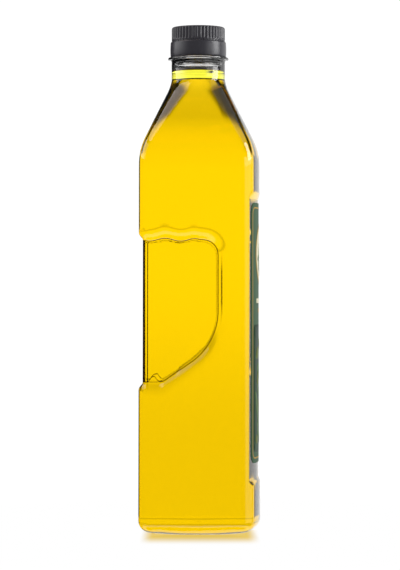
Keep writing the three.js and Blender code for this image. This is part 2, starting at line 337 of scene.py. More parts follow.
def gripDepth(x, z, nx):
    # flat floor inside the grip's outline, with a curved band round it
    g = grip
    valley = g["valleyDepth"] * clamp01(1 - abs(x - g["valleyX"]) / g["valleyReach"])
    floor = mix(g["sideDepth"] + valley, g["backDepth"], smoothStep(abs(nx)))
    width = mix(g["sideBand"], g["backBand"], abs(nx))
    power = mix(g["sidePower"], g["backPower"], abs(nx))
    return floor * clamp01(1 - gripEdge(x, z) / width) ** power


def creaseDistance(x, z):
    # distance from the sharp crease that the mould leaves round the grip's floor
    g = grip
    away = abs(x - g["notchX"]) / g["notchWidth"]
    return gripEdge(x, z, g["notchLift"] + g["notchHeight"] * max(0.0, 1 - away))


def panelRecess(x, y, z):
    if x <= 0:
        return 0.0
    p = panel
    share = smoothStep((z - p["foot"]) / p["step"]) * smoothStep((p["top"] - z) / p["step"])
    panelX = bottle["frontDepth"] - p["depth"] - p["radius"] + math.sqrt(p["radius"] ** 2 - y ** 2)
    return share * max(x - panelX, 0.0)


def columnAngles():
    # closest where the body's corners and the grip's outline lie
    s = sectionSizes(0, 0)
    joints = sectionArcs(s)[4]
    flat = [joints[1]]
    x = s["side"] / math.tan(joints[1])
    endX = s["side"] / math.tan(joints[2])
    spans = [
        (grip["front"] + grip["sideBand"], detail["coarse"]),
        (grip["front"] - grip["topCorner"], detail["fine"]),
        (grip["valleyX"] + 1, detail["medium"]), (grip["valleyX"] - 1, detail["fine"] / 2),
        (endX, detail["medium"]),
    ]
    for stop, spacing in spans:
        flat += [math.atan2(s["side"], at) for at in steps(x, stop, spacing)]
        x = stop
    half = [0.0] + steps(0.0, joints[0], joints[0] / detail["cornerSteps"])
    half += steps(joints[0], joints[1], (joints[1] - joints[0]) / detail["cornerSteps"])
    half += flat[1:]
    half += steps(joints[2], joints[3], (joints[3] - joints[2]) / detail["cornerSteps"])
    half += steps(joints[3], math.pi, (math.pi - joints[3]) / detail["backSteps"])
    return half + [-angle for angle in reversed(half[1:-1])]


columns = columnAngles()


def bodyHeights():
    fine, medium, coarse = detail["fine"], detail["medium"], detail["coarse"]
    spans = [
        (panel["foot"], coarse), (panel["foot"] + panel["step"], fine / 2),
        (grip["foot"] - grip["sideBand"] - 1, coarse), (grip["rampTop"], fine),
        (grip["top"] - grip["topCorner"], medium * 2), (grip["top"] + grip["sideBand"], fine),
        (panel["top"] - panel["step"], coarse), (panel["top"], fine / 2),
        (sideProfile["bodyZ"], medium), (backProfile["topZ"], medium), (bottle["neckFoot"], fine),
    ]
    heights = [bottle["footRadius"]]
    for stop, spacing in spans:
        heights += steps(heights[-1], stop, spacing)
    return heights


def bodyRow(z, inset, shrink=0.0):
    s = sectionSizes(z, shrink)
    arcs = sectionArcs(s)
    row = []
    for angle in columns:
        x, y, nx, ny = sectionPoint(s, arcs, angle)
        inward = inset + gripDepth(x, z, nx)
        row.append((x - nx * inward - panelRecess(x, y, z), y - ny * inward, z))
    return row


def circleRow(radius, z):
    return [(radius * math.cos(a), radius * math.sin(a), z) for a in columns]


def baseRows(inset):
    # push-up, the flat ring that the bottle stands on and the rounded foot with its lifted corners
    b = bottle
    rows = []
    for i in range(1, detail["pushUpSteps"] + 1):
        share = i / detail["pushUpSteps"]
        rise = b["pushUpHeight"] * (1 - share ** 2)
        rows.append(circleRow(b["pushUpRadius"] * share, inset + rise))
    radius = b["footRadius"] - inset
    for i in range(detail["footSteps"]):
        turn = i * math.pi / 2 / detail["footSteps"]
        shrink = radius * (1 - math.sin(turn))
        row = bodyRow(b["footRadius"] - radius * math.cos(turn), inset, shrink)
        lifted = []
        for x, y, z in row:
            outward = smoothStep((math.hypot(x, y) - b["footLiftStart"]) / b["footLiftReach"])
            lifted.append((x, y, z + b["footLift"] * outward * math.cos(turn)))
        rows.append(lifted)
    return rows


def wallAt(z):
    b = bottle
    share = smoothStep((z - b["wallStart"]) / (b["neckFoot"] - b["wallStart"]))
    return mix(b["bodyWall"], b["neckWall"], share)


def innerRows(overlap):
    # inside of the wall from the base to the neck, moved outwards into the wall by the overlap
    rows = baseRows(bottle["bodyWall"] - overlap)
    rows += [bodyRow(z, wallAt(z) - overlap) for z in bodyHeights()]
    return rows


def makeBottle(material, wetMaterial):
    # one closed wall, from the outside over the rim to the inside, wetted up to the oil's level
    b = bottle
    edge, bend, ease = b["edge"], b["boreBend"], b["boreEase"]
    inner = b["neckRadius"] - b["neckWall"]
    outside = baseRows(0) + [bodyRow(z, 0) for z in bodyHeights()]
    outside += [circleRow(r, z) for r, z in [
        (b["neckRadius"], mix(b["neckFoot"], b["ringFoot"], 0.5)),
        (b["neckRadius"], b["ringFoot"] - 2 * edge),
        (b["neckRadius"] + edge / 3, b["ringFoot"] - edge),
        (b["neckRadius"] + edge, b["ringFoot"] - edge / 4),
        (b["neckRadius"] + 2 * edge, b["ringFoot"]),
        (b["ringRadius"] - edge, b["ringFoot"]),
        (b["ringRadius"] - edge / 4, b["ringFoot"] + edge / 4),
        (b["ringRadius"], b["ringFoot"] + edge),
        (b["ringRadius"], b["ringTop"] - edge),
        (b["ringRadius"] - edge / 4, b["ringTop"] - edge / 4),
        (b["ringRadius"] - edge, b["ringTop"]),
        (b["finishRadius"], b["ringTop"]),
        (b["finishRadius"], b["rim"] - edge),
        (b["finishRadius"] - edge, b["rim"]),
    ]]
    inside = innerRows(0) + [circleRow(r, z) for r, z in [
        (inner, mix(b["neckFoot"], b["boreFoot"], 0.5)),
        (inner, b["boreFoot"] - bend),
        (inner - ease / 3, b["boreFoot"]),
        (inner - ease, b["boreFoot"] + bend),
        (mix(inner, b["boreRadius"], 0.5), mix(b["boreFoot"], b["boreStart"], 0.5)),
        (b["boreRadius"] + ease, b["boreStart"] - bend),
        (b["boreRadius"], b["boreStart"] + bend),
        (b["boreRadius"], b["rim"] - edge),
        (b["boreRadius"] + edge, b["rim"]),
    ]]
    poleZ = b["pushUpHeight"]
    rows = outside + inside[::-1]
    points, faces = loft(rows, (0, 0, poleZ), (0, 0, poleZ + b["bodyWall"]))
    item = meshObject("bottle_shell", points, faces, material)
    item.data.materials.append(wetMaterial)
    # distance from the grip's crease on the outer wall, which places the painted shade lines in the
    # wall's colour; inside points get none
    creaseShade = item.data.attributes.new("creaseShade", "FLOAT", "POINT")
    outer = 1 + len(outside) * len(columns)
    creaseShade.data.foreach_set("value", [
        creaseDistance(p[0], p[2]) if index < outer else grip["unmarked"]
        for index, p in enumerate(points)])
    for polygon in item.data.polygons:
        onInside = (polygon.vertices[0] - 1) // len(columns) >= len(outside)
        if onInside and all(points[v][2] < oil["level"] + oil["climb"] for v in polygon.vertices):
            polygon.material_index = 1
    dress(item, "clear_plastic", "bottle")
    return item


# Oil, with the edge that climbs the wall

oil = {
    "level": 262.3, "climb": 0.6, "climbLength": 1.2, "overlap": 0.12,
    # rings of the surface, by their distance from the wall
    "gaps": (0.15, 0.35, 0.6, 0.9, 1.3, 1.8, 2.5, 3.4, 4.6, 6.5),
}


def makeOil(material):
    b = bottle
    contact = b["neckRadius"] - b["neckWall"] + oil["overlap"]
    top = oil["level"] + oil["climb"]
    rows = innerRows(oil["overlap"])
    rows += [circleRow(contact, z) for z in steps(b["neckFoot"], top, detail["fine"])]
    for gap in oil["gaps"]:
        z = oil["level"] + oil["climb"] * math.exp(-gap / oil["climbLength"])
        rows.append(circleRow(contact - gap, z))
    pole = (0, 0, b["pushUpHeight"] + b["bodyWall"] - oil["overlap"])
    points, faces = loft(rows, pole, (0, 0, oil["level"]))
    item = meshObject("oil_fill", points, faces, material)
    dress(item, "oil", "oil")
    return item


# Screw cap

cap = {
    "radius": 15.25, "ribDepth": 0.5, "ribCount": 46, "ribFoot": 280.7, "ribFade": 0.7,
    "ribSharpness": 1.6, "ribTopGap": 0.3, "sideMargin": 1.2,
    "bore": 13.9, "roof": 1.5, "roofEdge": 0.6, "boreEdge": 0.2,
    "footEdge": 0.35, "footBend": 0.1, "topEdge": 1.1,
    "dishStart": 2.2, "dishEdge": 2.6, "dishEdgeDepth": 0.15, "dishFlat": 6, "dishDepth": 0.2,
    "columnsPerRib": 8, "rowSpacing": 0.45,
}


def ringRow(radius, z, count):
    turns = [2 * math.pi * i / count for i in range(count)]
    return [(radius * math.cos(turn), radius * math.sin(turn), z) for turn in turns]


def edgeArc(radius, z, edge, count=5):
    # rounded upper edge, from the side to the flat top
    arc = []
    for i in range(count + 1):
        turn = i * math.pi / 2 / count
        arc.append((radius - edge * (1 - math.cos(turn)), z - edge * (1 - math.sin(turn))))
    return arc


def ribTree():
    # pushes the side of the cap out and in round the axis, so that it carries upright ribs
    floats = ("Rib Count", "Rib Depth", "Foot", "Top", "Fade", "Side Radius", "Axis X")
    tree, add, given = newTree("cap ribs", Float=floats)
    place = add("GeometryNodeInputPosition")
    parts = add("ShaderNodeSeparateXYZ", [place]).outputs
    fromAxis = add("ShaderNodeMath", [parts[0], given["Axis X"]], operation="SUBTRACT")
    radius = add("ShaderNodeMath", [
        add("ShaderNodeMath", [
            add("ShaderNodeMath", [fromAxis, fromAxis], operation="MULTIPLY"),
            add("ShaderNodeMath", [parts[1], parts[1]], operation="MULTIPLY"),
        ], operation="ADD"),
    ], operation="SQRT")
    turn = add("ShaderNodeMath", [parts[1], fromAxis], operation="ARCTAN2")
    wave = add("ShaderNodeMath", [
        add("ShaderNodeMath", [turn, given["Rib Count"]], operation="MULTIPLY")
    ], operation="COSINE")
    # broad ribs, narrower grooves
    groove = add("ShaderNodeMath", [
        add("ShaderNodeMath", [wave, -0.5, 0.5], operation="MULTIPLY_ADD"), cap["ribSharpness"]
    ], operation="POWER")
    above = add("ShaderNodeMapRange", {
        "Value": parts[2], "From Min": given["Foot"],
        "From Max": add("ShaderNodeMath", [given["Foot"], given["Fade"]], operation="ADD"),
    }, interpolation_type="SMOOTHSTEP")
    below = add("ShaderNodeMapRange", {
        "Value": parts[2], "From Min": given["Top"],
        "From Max": add("ShaderNodeMath", [given["Top"], given["Fade"]], operation="SUBTRACT"),
    }, interpolation_type="SMOOTHSTEP")
    onSide = add("ShaderNodeMath", [
        radius,
        add("ShaderNodeMath", [
            given["Side Radius"], cap["sideMargin"] * mm
        ], operation="SUBTRACT"),
    ], operation="GREATER_THAN")
    depth = add("ShaderNodeMath", [
        add("ShaderNodeMath", [groove, given["Rib Depth"]], operation="MULTIPLY"),
        add("ShaderNodeMath", [above, below], operation="MULTIPLY"),
    ], operation="MULTIPLY")
    shift = add("ShaderNodeMath", [
        add("ShaderNodeMath", [
            add("ShaderNodeMath", [depth, onSide], operation="MULTIPLY"), -1.0
        ], operation="MULTIPLY"),
        radius,
    ], operation="DIVIDE")
    offset = add("ShaderNodeCombineXYZ", [
        add("ShaderNodeMath", [fromAxis, shift], operation="MULTIPLY"),
        add("ShaderNodeMath", [parts[1], shift], operation="MULTIPLY"),
    ])
    moved = add("GeometryNodeSetPosition", {"Geometry": given["Geometry"], "Offset": offset})
    finishTree(add, given, moved)
    return tree


def applyTree(item, tree, values, smooth=True):
    # runs a node tree on an object and keeps the result as its plain mesh
    modifier = item.modifiers.new(tree.name, "NODES")
    modifier.node_group = tree
    sockets = {s.name: s.identifier for s in tree.interface.items_tree if s.in_out == "INPUT"}
    for name, value in values.items():
        modifier[sockets[name]] = value
    evaluated = item.evaluated_get(bpy.context.evaluated_depsgraph_get())
    mesh = bpy.data.meshes.new_from_object(evaluated)
    item.modifiers.remove(modifier)
    old = item.data
    item.data = mesh
    bpy.data.meshes.remove(old)
    mesh.polygons.foreach_set("use_smooth", [smooth] * len(mesh.polygons))
    mesh.update()
    return item


def makeCap(material):
    c = cap
    foot, top = capLow[2] / mm, capHigh[2] / mm
    count = c["ribCount"] * c["columnsPerRib"]
    inside, roof, outside = c["bore"], top - c["roof"], c["radius"]
    footTop, dish = foot + c["footEdge"], top - c["dishDepth"]
    profile = [
        (inside - c["roofEdge"], roof), (inside, roof - c["roofEdge"]),
        (inside, foot + c["boreEdge"]), (inside + c["boreEdge"], foot),
        (outside - c["footEdge"], foot), (outside - c["footBend"], foot + c["footBend"]),
        (outside, footTop),
    ]
    profile += [(outside, z) for z in steps(footTop, top - c["topEdge"], c["rowSpacing"])]
    profile += edgeArc(outside, top, c["topEdge"])[1:]
    profile += [
        (outside - c["dishStart"], top), (outside - c["dishEdge"], top - c["dishEdgeDepth"]),
        (outside - c["dishFlat"], dish),
    ]
    rows = [ringRow(r, z, count) for r, z in profile]
    points, faces = loft(rows, (0, 0, roof), (0, 0, dish))
    item = meshObject("screw_cap", points, faces, material)
    applyTree(item, ribTree(), {
        "Rib Count": float(c["ribCount"]), "Rib Depth": c["ribDepth"] * mm,
        "Foot": c["ribFoot"] * mm, "Top": capHigh[2] - c["ribTopGap"] * mm,
        "Fade": c["ribFade"] * mm,
        "Side Radius": c["radius"] * mm, "Axis X": axisX, "Finish": material,
    })
    dress(item, "cap_plastic", "cap")
    return item


# Tamper band

band = {
    "radius": 16.05, "bulge": 0.22, "waist": 0.45, "bore": 13.8, "topEdge": 0.8, "footEdge": 0.5,
    "columns": 192, "rows": 24,
}


def makeBand(material):
    low, high = bandLow[2] / mm, bandHigh[2] / mm
    profile = [(band["bore"], low)]
    side = []
    for i in range(band["rows"] + 1):
        share = i / band["rows"]
        z = mix(low, high, share)
        radius = band["radius"] - band["bulge"] * (2 * (share - band["waist"])) ** 2
        fromFoot, fromTop = (z - low) / band["footEdge"], (high - z) / band["topEdge"]
        if fromFoot < 1:
            radius -= band["footEdge"] * (1 - math.sqrt(1 - (1 - fromFoot) ** 2))
        if fromTop < 1:
            radius -= band["topEdge"] * (1 - math.sqrt(1 - (1 - fromTop) ** 2))
        side.append((radius, z))
    profile += side + [(band["bore"], high)]
    points, faces = loop([ringRow(r, z, band["columns"]) for r, z in profile])
    item = meshObject("tamper_ring", points, faces, material)
    dress(item, "band_plastic", "tamper_band")
    return item


# Bridges that hold the band to the cap until the bottle is first opened

bridge = {"count": 48, "width": 1.3, "length": 0.9, "overlap": 0.12, "radius": 14.75}


def bridgeTree():
    # repeats one bridge in a ring round the axis
    floats = ("Radius", "Height", "Axis X")
    tree, add, given = newTree("tamper bridges", Int=("Count",), Float=floats)
    ring = add("GeometryNodeMeshCircle", {"Vertices": given["Count"], "Radius": given["Radius"]})
    index = add("GeometryNodeInputIndex")
    turn = add("ShaderNodeMath", [
        add("ShaderNodeMath", [index, 2 * math.pi], operation="MULTIPLY"), given["Count"]
    ], operation="DIVIDE")
    facing = add("ShaderNodeCombineXYZ", {2: turn})
    placed = add("GeometryNodeInstanceOnPoints", {
        "Points": ring, "Instance": given["Geometry"], "Rotation": facing
    })
    where = add("ShaderNodeCombineXYZ", {0: given["Axis X"], 2: given["Height"]})
    moved = add("GeometryNodeTransform", {"Geometry": placed, "Translation": where})
    finishTree(add, given, moved)
    return tree


def makeBridges(material):
    v = bridge
    low, high = bandHigh[2] / mm - v["overlap"], capLow[2] / mm + v["overlap"]
    middle, half = (low + high) / 2, (high - low) / 2
    corners = [(-1, -1), (1, -1), (1, 1), (-1, 1)]
    points = [(x * v["length"] / 2 - axisX / mm, y * v["width"] / 2, z)
              for z in (-half, half) for x, y in corners]
    faces = [(3, 2, 1, 0), (4, 5, 6, 7)]
    faces += [(i, (i + 1) % 4, (i + 1) % 4 + 4, i + 4) for i in range(4)]
    item = meshObject("tamper_bridges", points, faces, material)
    applyTree(item, bridgeTree(), {
        "Count": v["count"], "Radius": v["radius"] * mm, "Height": middle * mm,
        "Axis X": axisX, "Finish": material,
    }, smooth=False)
    dress(item, "band_plastic")
    return item


# Label

label = {
    "thickness": 0.16, "gap": 0.06, "corner": 6.0,
    "columns": 60, "cornerSteps": 10, "rowSpacing": 7.0,
}


def labelPoint(y, z, lift):
    radius = panel["radius"] + lift
    centre = bottle["frontDepth"] - panel["depth"] - panel["radius"]
    return centre + math.sqrt(radius ** 2 - y ** 2), y, z


def makeLabel(material):
    low, high, half = labelLow[2] / mm, labelHigh[2] / mm, labelHigh[1] / mm
    corner = label["corner"]
    rise = [corner * (1 - math.cos(i * math.pi / 2 / label["cornerSteps"]))
            for i in range(label["cornerSteps"] + 1)]
    heights = [low + r for r in rise] + steps(low + corner, high - corner, label["rowSpacing"])[:-1]
    heights += [high - r for r in reversed(rise)]
    count = label["columns"]
    points, faces = [], []
    for z in heights:
        inCorner = corner - min(z - low, high - z, corner)
        width = half - corner + math.sqrt(max(corner ** 2 - inCorner ** 2, 0.0))
        for lift in (label["gap"] + label["thickness"], label["gap"]):
            points += [labelPoint(mix(-width, width, i / count), z, lift) for i in range(count + 1)]
    ring = 2 * (count + 1)
    order = list(range(count + 1)) + [ring - 1 - i for i in range(count + 1)]
    for r in range(len(heights) - 1):
        for j in range(ring):
            a, b = r * ring + order[j], r * ring + order[(j + 1) % ring]
            faces.append((a, b, b + ring, a + ring))
    last = (len(heights) - 1) * ring
    for j in range(count):
        a, b = j, j + count + 1
        faces.append((a, b, b + 1, a + 1))
        faces.append((last + a, last + a + 1, last + b + 1, last + b))
    item = meshObject("label_sheet", points, faces, material)
    dress(item, "label", "front_label")
    return item


# Print on the label: a frame, an oval emblem with a sprig, bars and a field of leaves and olives

printed = {
    "inset": 2.4, "line": 0.8, "thickness": 0.07, "sink": 0.05, "columns": 72,
    "emblemZ": 158.0, "emblemHalfWidth": 19.0, "emblemHalfHeight": 17.5, "ring": 1.5,
    "barZ": (131.5, 126.0), "barHalfWidth": (17.0, 10.5), "barHeight": 2.6, "barCorner": 0.6,
    "fieldFoot": 46.0, "fieldTop": 118.0, "fieldInset": 4.4, "fieldCorner": 3.5,
    "leafLength": 15.0, "leafWidth": 4.6, "leafSpacing": 5.2, "leafSeed": 11,
    "oliveLength": 8.4, "oliveWidth": 6.0, "oliveSpacing": 13.5, "oliveSeed": 4,
    "smallest": 0.72, "largest": 1.1, "bevel": 0.93, "crown": 0.02,
    # how many layers of ink lie under the face of each part of the print
    "layers": {"field": 0.5, "frame": 1, "leaves": 1.5, "emblem": 2, "olives": 2.5,
               "sprig": 3, "sprigOlives": 4},
    "sprigLeaves": 7, "sprigRadius": 10.0, "sprigStart": 205, "sprigEnd": 25, "sprigDrop": 3.5,
    "sprigRise": 0.72, "sprigInner": 0.45, "sprigLeafLength": 9.5, "sprigLeafWidth": 3.3,
    "sprigLean": 0.6, "sprigSpread": (-0.5, 0.7),
    "sprigOlives": ((-6.0, -6.5), (0.8, -9.2), (6.6, -4.0)), "sprigOliveSize": (2.4, 3.2),
}


def oval(y, z, halfWidth, halfHeight, count):
    turns = [2 * math.pi * i / count for i in range(count)]
    return [(y + halfWidth * math.cos(turn), z + halfHeight * math.sin(turn)) for turn in turns]


def roundedBox(y, z, halfWidth, halfHeight, corner, count):
    # outline with the same number of points along every quarter
    straight = 0.3    # share of a quarter's points on each of its straight sides
    outline = []
    for i in range(count):
        turn = 2 * math.pi * (i + 0.5) / count
        quarter = int(turn / (math.pi / 2))
        share = turn / (math.pi / 2) - quarter
        signY, signZ = (1, -1, -1, 1)[quarter], (1, 1, -1, -1)[quarter]
        if quarter % 2:
            share = 1 - share
        if share < straight:
            at = (halfWidth, mix(0, halfHeight - corner, share / straight))
        elif share > 1 - straight:
            at = (mix(halfWidth - corner, 0, (share - 1 + straight) / straight), halfHeight)
        else:
            bend = (share - straight) / (1 - 2 * straight) * math.pi / 2
            at = (halfWidth - corner * (1 - math.cos(bend)),
                  halfHeight - corner * (1 - math.sin(bend)))
        outline.append((y + signY * at[0], z + signZ * at[1]))
    return outline


def printPatch(name, outline, level, material, hollow=None):
    # thin closed patch of ink on the curve of the label; a hollow outline makes it a frame
    base = label["gap"] + label["thickness"]
    lifts = (base - printed["sink"], base + level * printed["thickness"])
    middleY = sum(p[0] for p in outline) / len(outline)
    middleZ = sum(p[1] for p in outline) / len(outline)
    inner = hollow or [(middleY, middleZ)] * len(outline)
    shares = [0, 1] if hollow else [0.2, 0.4, 0.6, 0.8, 1]
    rings = [[(mix(a[0], b[0], s), mix(a[1], b[1], s)) for a, b in zip(inner, outline)]
             for s in shares]
    rows = [[labelPoint(y, z, lifts[0]) for y, z in ring] for ring in rings]
    rows += [[labelPoint(y, z, lifts[1]) for y, z in ring] for ring in reversed(rings)]
    if hollow:
        points, faces = loop(rows)
    else:
        poles = [labelPoint(middleY, middleZ, lift) for lift in lifts]
        points, faces = loft(rows, *poles)
    item = meshObject(name, points, faces, material)
    dress(item, "label")
    return item


def leafOutline(y, z, length, width, angle, count=18, taper=0.35):
    # pointed leaf, turned by an angle round its middle
    outline = []
    for i in range(count):
        turn = 2 * math.pi * i / count
        along = length / 2 * math.cos(turn)
        across = width / 2 * math.sin(turn) * abs(math.sin(turn)) ** taper
        outline.append((y + along * math.cos(angle) - across * math.sin(angle),
                        z + along * math.sin(angle) + across * math.cos(angle)))
    return outline


def scatterTree():
    # strews a motif over the field by seeded draws and bends it onto the label
    floats = ("Width", "Foot", "Top", "Spacing", "Panel Radius", "Panel Centre", "Turn")
    tree, add, given = newTree("printed motifs", Float=floats, Int=("Seed",))
    height = add("ShaderNodeMath", [given["Top"], given["Foot"]], operation="SUBTRACT")
    field = add("GeometryNodeMeshGrid", {
        "Size X": height, "Size Y": given["Width"], "Vertices X": 2, "Vertices Y": 2
    })
    middle = add("ShaderNodeCombineXYZ", {
        2: add("ShaderNodeMath", [height, 0.5, given["Foot"]], operation="MULTIPLY_ADD")
    })
    upright = add("GeometryNodeTransform", {
        "Geometry": field, "Translation": middle, "Rotation": (0.0, math.pi / 2, 0.0)
    })
    spots = add("GeometryNodeDistributePointsOnFaces", {
        "Mesh": upright, "Distance Min": given["Spacing"], "Density Max": 60000.0,
        "Seed": given["Seed"],
    }, distribute_method="POISSON")
    most = add("ShaderNodeCombineXYZ", [given["Turn"]])
    turns = add("FunctionNodeRandomValue", {
        0: (0.0, 0.0, 0.0), 1: most, "Seed": given["Seed"]
    }, data_type="FLOAT_VECTOR")
    sizes = add("FunctionNodeRandomValue", {
        2: printed["smallest"], 3: printed["largest"],
        "Seed": add("ShaderNodeMath", [given["Seed"], 1.0], operation="ADD"),
    }, data_type="FLOAT").outputs[1]
    strewn = add("GeometryNodeInstanceOnPoints", {
        "Points": spots, "Instance": given["Geometry"], "Rotation": turns, "Scale": sizes
    })
    real = add("GeometryNodeRealizeInstances", {"Geometry": strewn})
    place = add("GeometryNodeInputPosition")
    parts = add("ShaderNodeSeparateXYZ", [place]).outputs
    bend = add("ShaderNodeMath", [
        add("ShaderNodeMath", [
            add("ShaderNodeMath", [
                given["Panel Radius"], given["Panel Radius"]
            ], operation="MULTIPLY"),
            add("ShaderNodeMath", [parts[1], parts[1]], operation="MULTIPLY"),
        ], operation="SUBTRACT"),
    ], operation="SQRT")
    onPanel = add("ShaderNodeCombineXYZ", [
        add("ShaderNodeMath", [
            add("ShaderNodeMath", [bend, given["Panel Centre"]], operation="ADD"), parts[0]
        ], operation="ADD"),
        parts[1], parts[2],
    ])
    bent = add("GeometryNodeSetPosition", {"Geometry": real, "Position": onPanel})
    finishTree(add, given, bent)
    return tree


def strewMotif(name, outline, level, spacing, seed, margin, tree, material):
    # one motif, made flat, strewn over the field
    p = printed
    base = label["gap"] + label["thickness"]
    offset = -axisX / mm
    back, front = offset - p["sink"], offset + level * p["thickness"]
    rows = [[(back, y, z) for y, z in outline],
            [(front, y * p["bevel"], z * p["bevel"]) for y, z in outline]]
    points, faces = loft(rows, (back, 0, 0), (front + p["crown"], 0, 0))
    item = meshObject(name, points, faces, material)
    half = labelHigh[1] / mm - p["fieldInset"] - margin
    applyTree(item, tree, {
        "Width": 2 * half * mm,
        "Foot": (p["fieldFoot"] + margin) * mm, "Top": (p["fieldTop"] - margin) * mm,
        "Spacing": spacing * mm, "Panel Radius": (panel["radius"] + base) * mm,
        "Panel Centre": axisX + (bottle["frontDepth"] - panel["depth"] - panel["radius"]) * mm,
        "Turn": 2 * math.pi, "Seed": seed, "Finish": material,
    })
    dress(item, "label")
    return item


def makePrint(cream, gold, leafGreen, oliveGreen, deepGreen):
    p = printed
    layers = p["layers"]
    low, high, half = labelLow[2] / mm, labelHigh[2] / mm, labelHigh[1] / mm
    middle, halfHeight, count = (low + high) / 2, (high - low) / 2, p["columns"]
    inset, line, corner = p["inset"], p["line"], label["corner"]
    outer = roundedBox(0, middle, half - inset, halfHeight - inset, corner - inset / 2, count)
    inset += line
    corner -= p["inset"] / 2 + line
    inner = roundedBox(0, middle, half - inset, halfHeight - inset, corner, count)
    printPatch("label_frame", outer, layers["frame"], gold, hollow=inner)
    fieldMiddle = (p["fieldFoot"] + p["fieldTop"]) / 2
    fieldHalf = (p["fieldTop"] - p["fieldFoot"]) / 2
    field = roundedBox(0, fieldMiddle, half - p["fieldInset"], fieldHalf, p["fieldCorner"], count)
    printPatch("label_field", field, layers["field"], deepGreen)
    emblem, ring = (p["emblemHalfWidth"], p["emblemHalfHeight"]), p["ring"]
    printPatch("label_emblem_ring", oval(0, p["emblemZ"], *emblem, count), layers["frame"], gold)
    inside = oval(0, p["emblemZ"], emblem[0] - ring, emblem[1] - ring, count)
    printPatch("label_emblem", inside, layers["emblem"], cream)
    for i, (z, width) in enumerate(zip(p["barZ"], p["barHalfWidth"])):
        bar = roundedBox(0, z, width, p["barHeight"] / 2, p["barCorner"], count)
        printPatch("label_bar_" + str(i + 1), bar, layers["frame"], (cream, gold)[i])
    # sprig on the emblem: leaves along a curved twig, every other one further out, and three olives
    for i in range(p["sprigLeaves"]):
        share = i / (p["sprigLeaves"] - 1)
        turn = mix(p["sprigStart"], p["sprigEnd"], share) * degree
        rise = p["sprigRise"] if i % 2 else p["sprigRise"] * p["sprigInner"]
        reach = rise * p["sprigRadius"] * math.sin(turn)
        y, z = -p["sprigRadius"] * math.cos(turn), p["emblemZ"] - p["sprigDrop"] + reach
        angle = (math.pi / 2 - turn) * p["sprigLean"] + p["sprigSpread"][i % 2]
        leaf = leafOutline(y, z, p["sprigLeafLength"], p["sprigLeafWidth"], angle)
        printPatch("emblem_leaf_" + str(i + 1), leaf, layers["sprig"], leafGreen)
    for i, (y, rise) in enumerate(p["sprigOlives"]):
        olive = oval(y, p["emblemZ"] + rise, *p["sprigOliveSize"], 24)
        printPatch("emblem_olive_" + str(i + 1), olive, layers["sprigOlives"], deepGreen)
    tree = scatterTree()
    leaf = leafOutline(0, 0, p["leafLength"], p["leafWidth"], 0)
    strewMotif("label_leaves", leaf, layers["leaves"], p["leafSpacing"], p["leafSeed"],
               p["leafLength"] / 2, tree, leafGreen)
    olive = oval(0, 0, p["oliveWidth"] / 2, p["oliveLength"] / 2, 20)
    strewMotif("label_olives", olive, layers["olives"], p["oliveSpacing"], p["oliveSeed"],
               p["oliveLength"] / 2, tree, oliveGreen)


# Materials

finish = {
    "waveSize": 26.3, "waveStrength": 0.12, "waveHeight": 0.4,
    "grainSize": 0.5556, "grainStrength": 0.15, "grainHeight": 0.1,
    # painted shade: the oil's tint turns a darker golden towards the bottom; painted light: in the
    # neck it is left untinted, so it reads lighter
    "petIor": 1.575, "oilIor": 1.47, "oilUpper": "f6ce59", "oilShadedLow": "e7c159",
    "oilDepth": "fffe30", "oilDensity": 100.0,
    "oilLitNeckFoot": 0.2576, "oilLitNeckFadeFoot": 0.2570, "oilShadeStart": 0.15, "oilShadeFull": 0.05,
}
# painted shade: colour, widths, strengths and places of the dark lines painted into the wall where
# its creases bend the light away
creaseShade = {
    "colour": "1c1200", "gripWidth": 0.42, "gripStrength": 1.0,
    "wallAway": 2.0, "wallWidth": 0.7, "wallStrength": 0.93, "wallFoot": 0.124, "wallTop": 0.154,
    "neckWidth": 0.6, "neckStrength": 1.0,
    "wallBlur": 0.006, "lineCore": 0.35,
    "cornerStart": -29.5, "cornerFull": -29.9, "cornerSide": -26.0, "cornerShadeColour": "030100",
}


